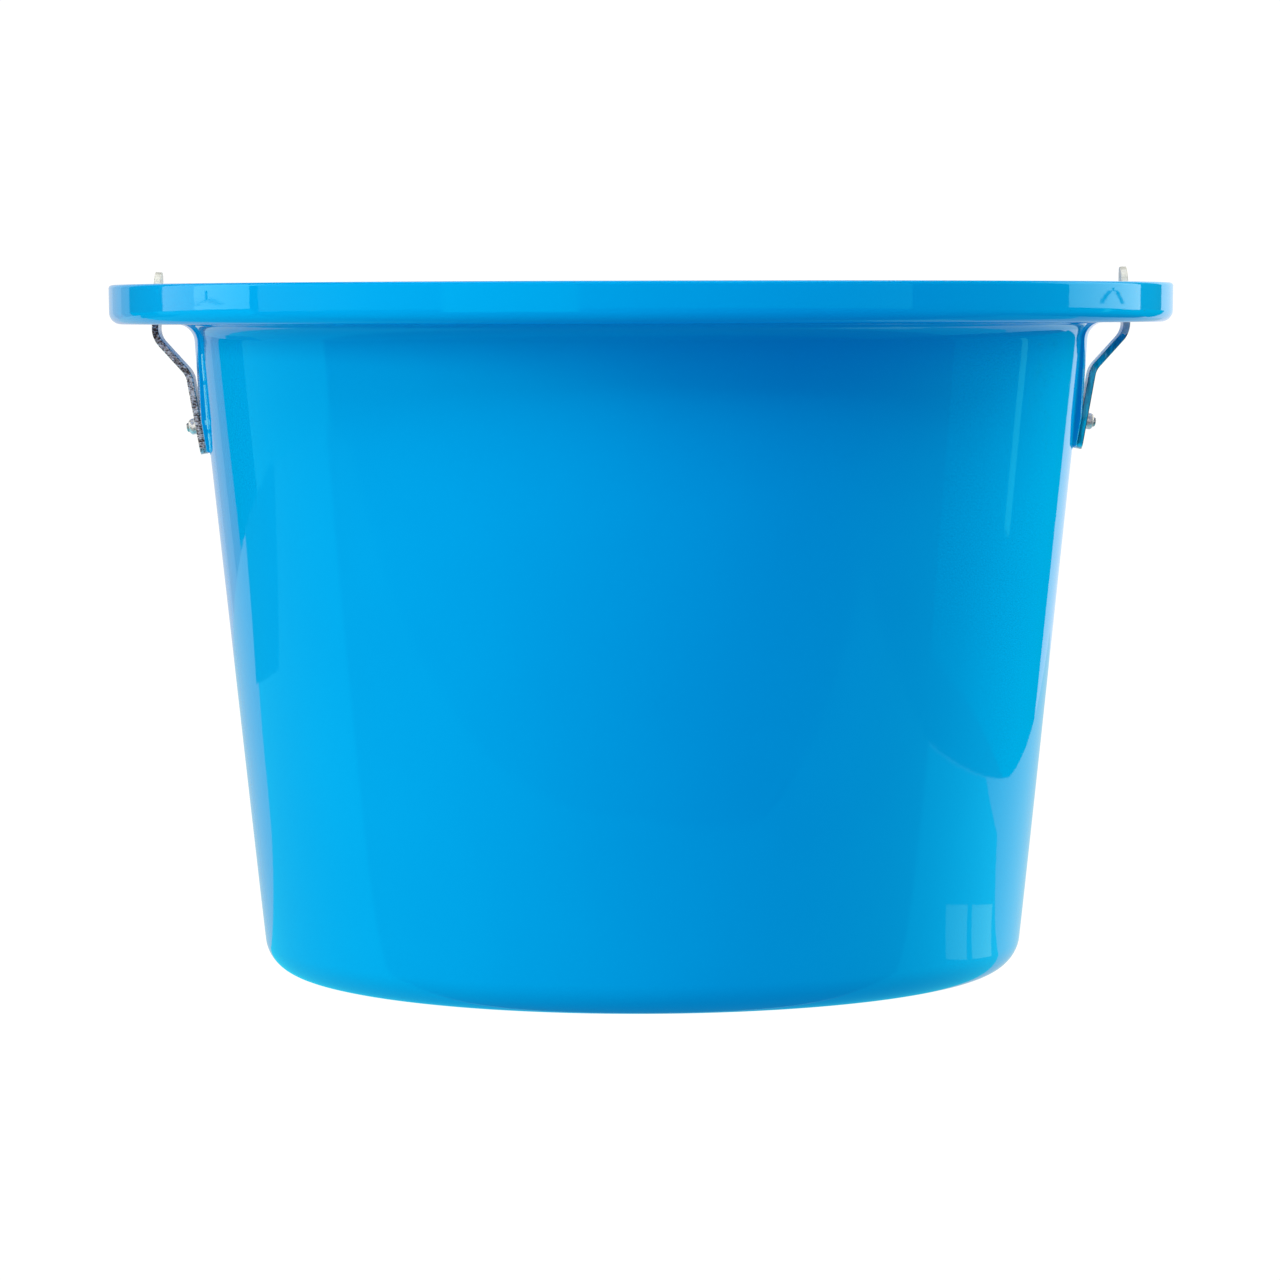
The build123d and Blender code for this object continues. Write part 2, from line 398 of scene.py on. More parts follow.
def slot_edges():
    """Inner and outer radius of the slots that let the straps through the ledge."""
    middle = LEDGE_UNDER + WALL / 2
    lean = STRAP_TOP_X - UPPER_BEND[0]
    rise = STRAP_TOP - UPPER_BEND[1]
    centre = UPPER_BEND[0] + lean * (middle - UPPER_BEND[1]) / rise
    inner = centre - STRAP_THICKNESS / 2 - SLOT_GAP
    return inner, centre + STRAP_THICKNESS / 2 + SLOT_GAP


def base_line():
    """Outline of the underside, from its centre to where the wall's fine rows begin."""
    return rounded(
        [
            (CENTRE_RADIUS, RECESS_DEPTH, 0),
            (RECESS_RADIUS, RECESS_DEPTH, RECESS_CORNER),
            (RECESS_RADIUS + RECESS_DRAFT, 0, RECESS_CORNER),
            (BASE_RADIUS, 0, BASE_CORNER),
            (wall_radius(FINE_BOTTOM), FINE_BOTTOM, 0),
        ],
        WALL_SPACING,
        WALL_STEPS,
    )


def rim_line(slot_out):
    """Outline from the slots' outer edge under the ledge, round the lip and back above it."""
    return rounded(
        [
            (slot_out, LEDGE_UNDER, 0),
            (RIM_RADIUS - LIP_DRAFT, LEDGE_UNDER, LIP_CORNER),
            (RIM_RADIUS, RIM_HEIGHT, LIP_EDGE),
            (RIM_RADIUS - WALL, RIM_HEIGHT, LIP_EDGE),
            (RIM_RADIUS - WALL - LIP_DRAFT, LEDGE_TOP, LIP_CORNER - WALL),
            (slot_out, LEDGE_TOP, 0),
        ],
        RIM_SPACING,
        RIM_STEPS,
    )


def inner_line(slot_in):
    """Outline of the inside, from the slots' inner edge down to the middle of the floor."""
    return rounded(
        [
            (slot_in, LEDGE_TOP, 0),
            (wall_radius(LEDGE_TOP) - WALL_ACROSS, LEDGE_TOP, FLARE + WALL),
            (wall_radius(FLOOR_THICKNESS) - WALL_ACROSS, FLOOR_THICKNESS, BASE_CORNER - WALL),
            (CENTRE_RADIUS, FLOOR_THICKNESS, 0),
        ],
        WALL_SPACING,
        WALL_STEPS,
    )


def wall_rows(slot_in):
    """Rows with both a wall point and a pad point, from below the pads up to the ledge."""
    foot = (wall_radius(FINE_BOTTOM), FINE_BOTTOM)
    corner = (wall_radius(LEDGE_UNDER), LEDGE_UNDER)
    ledge = (slot_in, LEDGE_UNDER)
    wall_arc = corner_arc(foot, corner, ledge, FLARE, WALL_STEPS)
    kink_radius = strap_inner_x(PAD_KINK)
    pad_at_ledge = kink_radius + PAD_UPPER_SLOPE * (LEDGE_UNDER - PAD_KINK)
    kink = (kink_radius, PAD_KINK)
    pad_arc = corner_arc(kink, (pad_at_ledge, LEDGE_UNDER), ledge, FLARE, WALL_STEPS)
    fine_rows = round((FINE_TOP - FINE_BOTTOM) / FINE_SPACING)
    heights = [FINE_BOTTOM + k * FINE_SPACING for k in range(fine_rows)]
    span = wall_arc[0][1] - FINE_TOP
    heights += [FINE_TOP + span * k / PAD_ROWS for k in range(PAD_ROWS + 1)]
    rows = []
    for height in heights:
        upper = kink_radius + PAD_UPPER_SLOPE * (height - PAD_KINK)
        pad = min(strap_inner_x(height), upper)
        rows.append(((wall_radius(height), height), (pad, height), "outer"))
    return rows + [(w, p, "outer") for w, p in zip(wall_arc[1:], pad_arc[1:])]


def tub_rows():
    """Rows of (wall point, pad point or None, kind) from the base's centre to the floor's centre.

    The kind is outer, rim or inner. Also gives two row numbers: the slots' inner edge under the
    ledge, and their outer edge above it.
    """
    slot_in, slot_out = slot_edges()
    rows = [(p, None, "outer") for p in base_line()[:-1]]
    rows += wall_rows(slot_in)
    under = len(rows)
    rows.append(((slot_in, LEDGE_UNDER), None, "rim"))
    rows += [(p, None, "rim") for p in rim_line(slot_out)]
    top = len(rows) - 1
    rows += [(p, None, "inner") for p in inner_line(slot_in)]
    return rows, under, top


def tub_vertices(rows, under, top):
    """Points of every row, crowded at the pads' edges and stepped out where they cross a pad."""
    base_angles = ring_angles(wall_radius(FINE_BOTTOM), FINE_BOTTOM)
    slot_angles = ring_angles(rows[under][0][0], LEDGE_UNDER)
    vertices = []
    for i, (wall, pad, kind) in enumerate(rows):
        if pad:
            angles = ring_angles(*wall)
        elif kind == "outer":
            angles = base_angles
        elif i in (under + 1, top):
            angles = ring_angles(wall[0], LEDGE_UNDER)
        else:
            angles = slot_angles
        for angle in angles:
            radius, height = wall
            if pad:
                lift = SIDES["right" if math.cos(angle) > 0 else "left"][1]
                distance = pad_distance(radius * math.sin(angle), height, lift)
                share = pad_share(distance)
                radius += (pad[0] - radius) * share + pad_bead(distance, height)
                height += (pad[1] - height) * share
            if kind != "rim":
                radius += wall_wobble(angle, height)
            vertices.append((radius * math.cos(angle), radius * math.sin(angle), height))
    return vertices


def tub_faces(row_count, count, under, top):
    """Quads between the rows, with the two slots cut through the ledge, and the centres closed."""
    slot_middles = (0, count // 2)
    slot_columns = set()
    for middle in slot_middles:
        slot_columns |= {(middle + k) % count for k in range(-COLUMNS_SLOT, COLUMNS_SLOT)}
    faces = []
    for i in range(row_count - 1):
        open_columns = slot_columns if i in (under, top) else ()
        faces += band(count, i, i + 1, [j for j in range(count) if j not in open_columns])
    for low, high in ((under, top + 1), (top, under + 1)):
        for j in slot_columns:
            k = (j + 1) % count
            faces.append((low * count + k, low * count + j, high * count + j, high * count + k))
    for middle in slot_middles:
        for edge, flip in ((middle - COLUMNS_SLOT, False), (middle + COLUMNS_SLOT, True)):
            end = tuple(row * count + edge % count for row in (under, under + 1, top, top + 1))
            faces.append(end[::-1] if flip else end)
    faces.append(tuple(reversed(range(count))))
    faces.append(tuple(range((row_count - 1) * count, row_count * count)))
    return faces


def make_tub(plastic, bead_highlight):
    """The moulding, with a painted highlight: a paler plastic on the ridge beside the left pad."""
    rows, under, top = tub_rows()
    vertices = tub_vertices(rows, under, top)
    faces = tub_faces(len(rows), len(vertices) // len(rows), under, top)
    piece = new_piece(
        "tub", vertices, faces, [plastic, bead_highlight],
        "root", "bucket_body", TUB_SHARP_ANGLE,
    )
    # Painted highlight: the crest of the ridge beside the left pad only gets the paler plastic,
    # standing for a glint of light.
    for polygon in piece.data.polygons:
        x, y, z = (c / MM for c in polygon.center)
        outside = math.hypot(x, y) > wall_radius(z) - 0.5 * WALL_ACROSS
        bead = pad_bead(pad_distance(y, z, SIDES["left"][1]), z)
        if x < 0 and PAD_BOTTOM < z < LEDGE_UNDER and outside and bead > BEAD_HIGHLIGHT_FROM:
            polygon.material_index = 1


# ---------------------------------------------------------------- straps

def strap_section(half_width, edge_slant):
    """Loop of (across thickness, across width): a bar with small corner radii, slanted edges."""
    half = STRAP_THICKNESS / 2
    corner = min(STRAP_CORNER, half_width * 0.4)
    slant = min(edge_slant, half_width * 0.3)
    loop = []
    corners = (
        (half, half_width, 0),
        (-half, half_width - slant, 90),
        (-half, slant - half_width, 180),
        (half, -half_width, 270),
    )
    for thick, wide, start in corners:
        centre = (thick - math.copysign(corner, thick), wide - math.copysign(corner, wide))
        for k in range(4):
            angle = math.radians(start + 30 * k)
            x = centre[0] + corner * math.cos(angle)
            loop.append((x, centre[1] + corner * math.sin(angle)))
    return hold_flats(loop)


def hold_flats(loop):
    """The loop with a point near each end of its long straights, to keep their shading flat."""
    held = []
    for here, ahead in zip(loop, loop[1:] + loop[:1]):
        held.append(here)
        if math.dist(here, ahead) > FLAT_FROM:
            for share in FLAT_HOLDS:
                held.append(tuple(p + (q - p) * share for p, q in zip(here, ahead)))
    return held


def strap_stations():
    """(x, z, tangent, half width) along the strap's centre line, from foot to top."""
    foot = LOWER_BEND[0] - STRAP_SLOPE * (LOWER_BEND[1] - STRAP_BOTTOM)
    corners = [
        (foot, STRAP_BOTTOM, 0),
        (*LOWER_BEND, LOWER_BEND_RADIUS),
        (*UPPER_BEND, UPPER_BEND_RADIUS),
        (STRAP_TOP_X, STRAP_TOP, 0),
    ]
    line = rounded(corners, STRAP_SPACING, STRAP_STEPS)
    half = STRAP_WIDTH / 2
    stations = []
    for k, (x, z) in enumerate(line):
        width = half
        short_of_foot = STRAP_END_RADIUS - (z - STRAP_BOTTOM)
        if short_of_foot > 0:
            round_off = math.sqrt(STRAP_END_RADIUS**2 - short_of_foot**2)
            width = half - STRAP_END_RADIUS + round_off
        short_of_top = half - (STRAP_TOP - z)
        if short_of_top > 0:
            arch = math.sqrt(max(0.0, half**2 - short_of_top**2))
            width = max(STRAP_TIP_HALF_WIDTH, arch)
        stations.append((x, z, tangent_at(line, k), width))
    return stations


def make_strap(side, flats, edges, worn_and_lit, edge_slant, worn_and_lit_from):
    """Strap with its flats, its cut edges, and a paler material on those edges above a height:
    partly wear, partly painted light where the ends catch the overhead light.
    """
    sign, lift = SIDES[side]
    rings = []
    for x, z, tangent, width in strap_stations():
        normal = Vector((tangent.y, -tangent.x))
        ring = []
        for thick, wide in strap_section(width, edge_slant):
            ring.append((sign * (x + normal.x * thick), wide, z + lift + normal.y * thick))
        rings.append(ring if sign > 0 else ring[::-1])
    vertices, faces = skin(rings)
    piece = new_piece(
        "strap_" + side + "_bar", vertices, faces, [flats, edges, worn_and_lit],
        "root", "strap_" + side,
    )
    drill(piece, (sign * UPPER_BEND[0], 0, BAIL_AXIS), BAIL_HOLE_RADIUS, DRILL_LENGTH)
    # Painted light: the faces above the lip and the cut edges above the given height get the paler
    # material, as the ends stand in the overhead light.
    for polygon in piece.data.polygons:
        above_lip = polygon.center.z > RIM_HEIGHT * MM
        if abs(polygon.normal.y) > CUT_EDGE_FACING or above_lip:
            polygon.material_index = 2 if polygon.center.z > worn_and_lit_from * MM else 1


def drill(piece, centre, radius, length):
    """Cuts a round hole along X through a piece."""
    rings = []
    for x in (centre[0] - length / 2, centre[0] + length / 2):
        ring = []
        for angle in full_turn(HOLE_SIDES):
            y = centre[1] + radius * math.cos(angle)
            ring.append((x, y, centre[2] + radius * math.sin(angle)))
        rings.append(ring)
    mesh = millimetre_mesh("cutter", *skin(rings))
    cutter = add_to_scene("cutter", mesh)
    cut = piece.modifiers.new("hole", "BOOLEAN")
    cut.operation = "DIFFERENCE"
    cut.solver = "EXACT"
    cut.object = cutter
    bpy.context.view_layer.update()
    evaluated = piece.evaluated_get(bpy.context.evaluated_depsgraph_get())
    holed = bpy.data.meshes.new_from_object(evaluated)
    piece.modifiers.clear()
    piece.data = holed
    shade(holed, SHARP_ANGLE)
    bpy.data.objects.remove(cutter)
    bpy.data.meshes.remove(mesh)


# ---------------------------------------------------------------- rivets and washers

def rivet_place(side):
    """Matrix from the rivet's own frame (z along its axis, outwards) to the part's frame."""
    sign, lift = SIDES[side]
    normal = Vector((sign * math.cos(STRAP_ANGLE), 0, -math.sin(STRAP_ANGLE)))
    across = Vector((0, sign, 0))
    third = normal.cross(across)
    turn = Matrix((across, third, normal)).transposed().to_4x4()
    seat = (sign * strap_inner_x(RIVET_HEIGHT), 0, RIVET_HEIGHT + lift)
    return Matrix.Translation(seat) @ turn


def bulb_wobble(seed):
    """Uneven clench of the rivet's blind side."""
    draw = random.Random(seed)
    phases = [draw.uniform(0, 2 * math.pi) for _ in range(3)]

    def wobble(radius, height, angle):
        if height < STRAP_THICKNESS or radius < RIVET_BORE + 0.3:
            return 0.0
        wave = math.sin(2 * angle + phases[0]) + 0.6 * math.sin(3 * angle + phases[1] + height)
        return -BULB_CLENCH * (1.6 + wave) * smooth((height - STRAP_THICKNESS) / 1.2)

    return wobble


def turned_piece(name, corners, sides, place, material, node, wobble=None):
    """Fixed turned piece from the (radius, height, rounding) corners of its closed section."""
    section = rounded(corners + [corners[0]], TURNED_SPACING, TURNED_STEPS)[:-1]
    vertices, faces = lathe(section, sides, place, wobble)
    new_piece(name, vertices, faces, [material], "root", node)


def make_rivet(side, sleeve_material, mandrel_material, washer_material):
    """Blind rivet through a strap's foot: sleeve, mandrel, and the washer inside the wall."""
    place = rivet_place(side)
    bulb_top = STRAP_THICKNESS + BULB_HEIGHT
    washer_face = -SEAT_DEPTH - WASHER_THICKNESS
    flange_face = washer_face - FLANGE_HEIGHT
    sleeve = [
        (RIVET_BORE, flange_face, 0),
        (FLANGE_RADIUS - 1.4, flange_face, 1.0),
        (FLANGE_RADIUS, washer_face - 0.5, 0.4),
        (FLANGE_RADIUS, washer_face, 0),
        (RIVET_RADIUS, washer_face, 0),
        (RIVET_RADIUS, STRAP_THICKNESS, 0),
        (BULB_RADIUS - 0.2, STRAP_THICKNESS, 0),
        (BULB_RADIUS, bulb_top, BULB_CORNER),
        (RIVET_BORE, bulb_top, 0),
    ]
    turned_piece(
        "rivet_" + side + "_sleeve", sleeve, SLEEVE_SIDES, place, sleeve_material,
        "rivet_" + side, bulb_wobble(side),
    )
    break_face = flange_face + MANDREL_BREAK
    head_face = bulb_top + MANDREL_HEAD_HEIGHT
    mandrel = [
        (MANDREL_CENTRE, break_face, 0),
        (MANDREL_RADIUS, break_face, 0.25),
        (MANDREL_RADIUS, bulb_top, 0),
        (MANDREL_HEAD_RADIUS, bulb_top, 0),
        (MANDREL_HEAD_RADIUS, head_face, 0.7),
        (MANDREL_CENTRE, head_face, 0),
    ]
    turned_piece(
        "mandrel_" + side, mandrel, MANDREL_SIDES, place, mandrel_material,
        "rivet_mandrel_" + side,
    )
    washer = [
        (WASHER_HOLE, -SEAT_DEPTH - 1.0, 0),
        (WASHER_HOLE, washer_face, 0.2),
        (WASHER_RADIUS, washer_face, 0.3),
        (WASHER_RADIUS, -SEAT_DEPTH, 0),
        (WASHER_HOLE, -SEAT_DEPTH, 0),
    ]
    turned_piece(
        "washer_" + side + "_disc", washer, WASHER_SIDES, place, washer_material,
        "washer_" + side,
    )


# ---------------------------------------------------------------- bail

def bail_line():
    """Bail's centre line in its own plane: hook, pin, shoulder, big arc, the same mirrored."""
    inner = BAIL_RADIUS - SHOULDER_RADIUS
    shoulder = (math.sqrt(inner**2 - SHOULDER_RADIUS**2), SHOULDER_RADIUS)
    shoulder_angle = math.asin(SHOULDER_RADIUS / inner)
    tip = (HOOK_START - HOOK_RADIUS, HOOK_RADIUS + HOOK_LENGTH)
    right = [tip] + spread(tip, (tip[0], HOOK_RADIUS), 1.2)
    quarter = math.pi / 2
    right += arc_points((HOOK_START, HOOK_RADIUS), HOOK_RADIUS, math.pi, quarter, HOOK_STEPS)
    right += spread((HOOK_START, 0), (shoulder[0], 0), 1.0)
    turn = quarter + shoulder_angle
    right += arc_points(shoulder, SHOULDER_RADIUS, -quarter, turn, SHOULDER_STEPS)
    sweep = math.pi - 2 * shoulder_angle
    arc = arc_points((0, 0), BAIL_RADIUS, shoulder_angle, sweep, ARC_STEPS)[:-1]
    return right + arc + [(-x, y) for x, y in reversed(right)]


def make_bail(material):
    """The bail at rest: tilted about its axis until its wire lies just above the ledge."""
    drop = BAIL_AXIS - LEDGE_TOP - WIRE_RADIUS - FLOOR_GAP
    dip = math.asin(drop / BAIL_RADIUS)
    line = bail_line()
    rings = []
    for k, (u, v) in enumerate(line):
        tangent = tangent_at(line, k)
        normal = Vector((tangent.y, -tangent.x))
        cuts = [(0.0, 0.0)]
        if k == 0:
            cuts = TIP_RINGS
        if k == len(line) - 1:
            cuts = [(-along, less) for along, less in reversed(TIP_RINGS)]
        for along, less in cuts:
            radius = WIRE_RADIUS - less
            ring = []
            for angle in full_turn(WIRE_SIDES):
                a = u + tangent.x * along + normal.x * radius * math.cos(angle)
                b = v + tangent.y * along + normal.y * radius * math.cos(angle)
                c = radius * math.sin(angle)
                y = b * math.cos(dip) + c * math.sin(dip)
                z = BAIL_AXIS - b * math.sin(dip) + c * math.cos(dip)
                ring.append((a, y, z))
            rings.append(ring[::-1])
    vertices, faces = skin(rings)
    new_piece(
        "bail_wire_handle", vertices, faces, [material], "bail", "bail_handle"
    )


# ---------------------------------------------------------------- materials

class Nodes:
    """Short way to build a material's node tree."""

    def __init__(self, name):
        self.material = bpy.data.materials.new(name)
        self.material.use_nodes = True
        self.tree = self.material.node_tree
        self.shader = self.tree.nodes["Principled BSDF"]
        self.place = self.add("ShaderNodeTexCoord").outputs["Object"]

    def put(self, socket, value):
        """Links a socket to another, or sets its constant."""
        if isinstance(value, bpy.types.NodeSocket):
            self.tree.links.new(value, socket)
        else:
            socket.default_value = value

    def add(self, kind, inputs=None, **settings):
        node = self.tree.nodes.new(kind)
        for key, value in settings.items():
            setattr(node, key, value)
        for key, value in (inputs or {}).items():
            self.put(node.inputs[key], value)
        return node

    def stretched(self, scale):
        """The object's own coordinates, scaled on each axis."""
        return self.add(
            "ShaderNodeMapping", {"Vector": self.place, "Scale": scale}
        ).outputs["Vector"]

    def noise(self, scale, detail, vector=None, roughness=0.5):
        inputs = {"Vector": vector or self.place, "Scale": scale, "Detail": detail}
        inputs["Roughness"] = roughness
        return self.add("ShaderNodeTexNoise", inputs).outputs["Fac"]

    def span(self, value, low, high, to_low, to_high):
        """Maps low..high to to_low..to_high, clamped."""
        inputs = {"Value": value, "From Min": low, "From Max": high}
        inputs.update({"To Min": to_low, "To Max": to_high})
        return self.add("ShaderNodeMapRange", inputs).outputs["Result"]

    def ramp(self, value, dark, bright):
        """Blends two colours, given as (place, colour)."""
        node = self.add("ShaderNodeValToRGB", {"Fac": value})
        for element, (place, colour) in zip(node.color_ramp.elements, (dark, bright)):
            element.position = place
            element.color = (*colour, 1.0)
        return node.outputs["Color"]

    def math(self, operation, a, b):
        return self.add("ShaderNodeMath", {0: a, 1: b}, operation=operation).outputs["Value"]

    def bump(self, height, strength, distance, normal=None):
        inputs = {"Height": height, "Strength": strength, "Distance": distance}
        if normal:
            inputs["Normal"] = normal
        return self.add("ShaderNodeBump", inputs).outputs["Normal"]

    def set(self, **values):
        """Sets the shader's sockets, named with underscores, and gives the material back."""
        for key, value in values.items():
            self.put(self.shader.inputs[key.replace("_", " ")], value)
        return self.material


def plastic_material(name, dark, bright):
    """Glossy polypropylene: faint colour drift, fine orange peel, hairline scratches."""
    m = Nodes(name)
    drift = m.noise(9.0, detail=3.0)
    upright = m.noise(40.0, detail=2.0, vector=m.stretched((14.0, 14.0, 0.5)), roughness=0.6)
    level = m.noise(55.0, detail=2.0, vector=m.stretched((0.8, 0.8, 26.0)), roughness=0.6)
    upright_scratches = m.span(upright, 0.72, 0.80, 0.0, 1.0)
    level_scratches = m.span(level, 0.74, 0.82, 0.0, 1.0)
    scratches = m.math("MAXIMUM", upright_scratches, level_scratches)
    haze = m.span(m.noise(16.0, detail=4.0), 0.3, 0.7, 0.02, 0.045)
    peel = m.bump(m.noise(260.0, detail=1.0), 0.02, 0.0002)
    waves = m.bump(m.noise(22.0, detail=1.0), 0.04, 0.001, peel)
    return m.set(
        Base_Color=m.ramp(drift, (0.30, dark), (0.70, bright)),
        Roughness=m.math("ADD", haze, m.math("MULTIPLY", scratches, 0.10)),
        Normal=m.bump(scratches, 0.05, 0.0001, waves),
        IOR=1.49,
        Specular_IOR_Level=0.5,
        Specular_Tint=(0.0, 1.0, 1.0, 1.0),
    )


def metal_material(name, dark, bright, roughness, scale, stretch, depth, metallic=1.0):
    """Plated or bare metal: patchy tone, and stretched scratches that also cut the surface."""
    m = Nodes(name)
    patch = m.noise(140.0, detail=5.0, roughness=0.6)
    lines = m.noise(scale, detail=3.0, vector=m.stretched(stretch), roughness=0.7)
    tone = m.math("ADD", m.math("MULTIPLY", patch, 0.35), m.math("MULTIPLY", lines, 0.65))
    return m.set(
        Base_Color=m.ramp(tone, (0.45, dark), (0.57, bright)),
        Metallic=metallic,
        Roughness=m.span(lines, 0.3, 0.7, *roughness),
        Normal=m.bump(lines, depth, 0.0003),
    )


def wire_material():
    """Galvanised drawn wire: dull patchy grey, finely pitted."""
    m = Nodes("galvanised_wire")
    patch = m.noise(90.0, detail=5.0, roughness=0.6)
    return m.set(
        Base_Color=m.ramp(patch, (0.35, (0.36, 0.37, 0.38)), (0.65, (0.60, 0.61, 0.62))),
        Metallic=1.0,
        Roughness=m.span(patch, 0.3, 0.7, 0.28, 0.46),
        Normal=m.bump(m.noise(900.0, detail=3.0), 0.15, 0.0001),
    )


def glow_material(name, colour):
    """Even glow of one colour without shine, so a panel looks the same from everywhere."""
    material = bpy.data.materials.new(name)
    material.use_nodes = True
    shader = material.node_tree.nodes["Principled BSDF"]
    shader.inputs["Base Color"].default_value = (0.0, 0.0, 0.0, 1.0)
    shader.inputs["Specular IOR Level"].default_value = 0.0
    shader.inputs["Roughness"].default_value = 1.0
    shader.inputs["Emission Color"].default_value = (*colour, 1.0)
    shader.inputs["Emission Strength"].default_value = 1.0
    return material


# ---------------------------------------------------------------- stage

def make_camera():
    """Camera fitted to the bucket's outline, almost level with the rim."""
    data = bpy.data.cameras.new("camera")
    data.lens = CAMERA_LENS
    data.sensor_width = CAMERA_SENSOR
    data.clip_end = 50.0
    camera = add_to_scene("camera", data)
    aim = Matrix.Rotation(math.pi / 2 - CAMERA_DIP, 4, "X") @ Matrix.Rotation(CAMERA_ROLL, 4, "Z")
    camera.matrix_world = Matrix.Translation(CAMERA_PLACE) @ aim
    bpy.context.scene.camera = camera


def make_world():
    """White to the camera, a soft even fill to matt surfaces, a dim room to glossy ones."""
    world = bpy.data.worlds.new("studio")
    bpy.context.scene.world = world
    world.use_nodes = True
    tree = world.node_tree
    rays = tree.nodes.new("ShaderNodeLightPath")
    last = tree.nodes["Background"]
    last.inputs["Color"].default_value = (*FILL_COLOUR, 1)
    last.inputs["Strength"].default_value = 1.0
    for ray, colour in (("Is Glossy Ray", ROOM_COLOUR), ("Is Camera Ray", PURE_WHITE)):
        background = tree.nodes.new("ShaderNodeBackground")
        background.inputs["Color"].default_value = (*colour, 1)
        mix = tree.nodes.new("ShaderNodeMixShader")
        tree.links.new(rays.outputs[ray], mix.inputs[0])
        tree.links.new(last.outputs[0], mix.inputs[1])
        tree.links.new(background.outputs[0], mix.inputs[2])
        last = mix
    tree.links.new(last.outputs[0], tree.nodes["World Output"].inputs[0])


def make_panel(name, vertices, faces, material, unseen_by):
    """Glowing panel of the studio, hidden from some kinds of ray."""
    mesh = bpy.data.meshes.new(name)
    mesh.from_pydata(vertices, [], faces)
    mesh.materials.append(material)
    panel = add_to_scene(name, mesh)
    for ray in unseen_by:
        setattr(panel, "visible_" + ray, False)


def make_reflector(name, vertices, faces, colour):
    """A panel that only glossy surfaces see."""
    material = glow_material(name + "_glow", colour)
    make_panel(name, vertices, faces, material, ("camera", "diffuse", "shadow"))


def level_points(outline, level):
    return [(x, y, level) for x, y in outline]


def square(reach):
    return [(-reach, -reach), (reach, -reach), (reach, reach), (-reach, reach)]


def make_floor():
    """Pure white floor that the camera sees and the object doesn't."""
    material = glow_material("white_floor", PURE_WHITE)
    corners = level_points(square(FLOOR_REACH), FLOOR_LEVEL)
    make_panel("floor", corners, [(0, 1, 2, 3)], material, ("glossy", "diffuse"))


def make_base_glow():
    """Light that a white sheet throws back up at the base, felt by matt surfaces only."""
    material = glow_material("base_glow", (0.67, 0.67, 0.67))
    corners = level_points(square(BASE_GLOW_REACH), BASE_GLOW_LEVEL)
    make_panel("base_glow", corners, [(0, 1, 2, 3)], material, ("camera", "glossy"))


def make_light(name, azimuth, elevation, size, colour, power):
    """Soft area light aimed at the bucket; azimuth runs from the camera's side towards +X."""
    turn, rise = math.radians(azimuth), math.radians(elevation)
    away = Vector((
        math.sin(turn) * math.cos(rise),
        -math.cos(turn) * math.cos(rise),
        math.sin(rise),
    ))
    data = bpy.data.lights.new(name, "AREA")
    data.shape = "RECTANGLE"
    data.size, data.size_y = size
    data.energy = power
    data.color = colour
    light = add_to_scene(name, data)
    light.location = Vector(LIGHT_AIM) + LIGHT_DISTANCE * away
    light.rotation_euler = (-away).to_track_quat("-Z", "Y").to_euler()
    light.visible_camera = False
    light.visible_glossy = False


def make_lights():
    """The lights' red is seen only by the metals, as the plastic has none of its own."""
    make_light("front_high", 0, 45, (0.8, 0.8), (1, 1, 0.755), 14.2)
    make_light("right_high", 90, 45, (0.8, 0.8), (1.1, 1, 0.36), 10.0)
    make_light("left", -65, 10, (0.6, 1.0), (1.1, 1, 0.55), 27.2)
    make_light("right_rear", 125, 10, (0.6, 1.0), (1.15, 1, 0.66), 48.9)
    make_light("right", 95, 10, (0.6, 1.0), (1.2, 1, 0.1), 9.3)


def make_standing_panel(name, azimuths, heights, colour, nearer=0.0):
    """Upright reflector curved round the bucket; azimuth runs from behind it towards +X."""
    distance = PANEL_DISTANCE - nearer
    steps = max(2, round(abs(azimuths[1] - azimuths[0]) / 4))
    vertices = []
    for k in range(steps + 1):
        turn = math.radians(azimuths[0] + (azimuths[1] - azimuths[0]) * k / steps)
        for height in heights:
            vertices.append((distance * math.sin(turn), distance * math.cos(turn), height))
    faces = [(2 * k, 2 * k + 2, 2 * k + 3, 2 * k + 1) for k in range(steps)]
    make_reflector(name, vertices, faces, colour)


def make_standing_panels():
    """The studio round the bucket: backdrop, softboxes, walls, window and the room in front."""
    backdrop = ((-45, -38, 0.40), (-38, -28, 0.58), (-28, 0, 0.72), (0, 37.5, 0.88))
    for k, (start, end, glow) in enumerate(backdrop):
        colour = (0.92 * glow, glow, 1.12 * glow)
        make_standing_panel("backdrop_%d" % k, (start, end), (-0.6, 1.4), colour)
    make_standing_panel("left_softbox_edge", (-77, -64), (0.2, 1.3), (1.25, 1.25, 1.25))
    make_standing_panel("left_softbox", (-95, -77), (0.2, 1.3), (2.4, 2.4, 2.2))
    make_standing_panel("left_wall", (-96, -61), (-0.1, 0.2), (0.05, 0.80, 0.95))
    make_standing_panel("left_wall_dim", (-61, -45), (-0.2, 0.2), (0.0, 0.35, 0.45))
    make_standing_panel("right_softbox", (53, 83.6), (0.2, 1.3), (1.6, 1.6, 1.5))
    make_standing_panel("right_slit", (67.5, 70.5), (-0.05, 0.2), (0.1, 1.0, 0.9), 0.04)
    make_standing_panel("right_wall", (34, 97), (-0.2, 0.2), (0.0, 0.27, 0.38), 0.02)
    make_standing_panel("window", (-168, -141), (0.0, 1.2), (1.4, 1.4, 1.3))
    make_standing_panel("front_high_softbox", (150, 210), (1.3, 2.6), (1.3, 1.3, 1.3), -0.2)
    make_standing_panel("room_front", (125, 263), (0.15, 1.3), (0.8, 0.8, 0.78), -0.15)


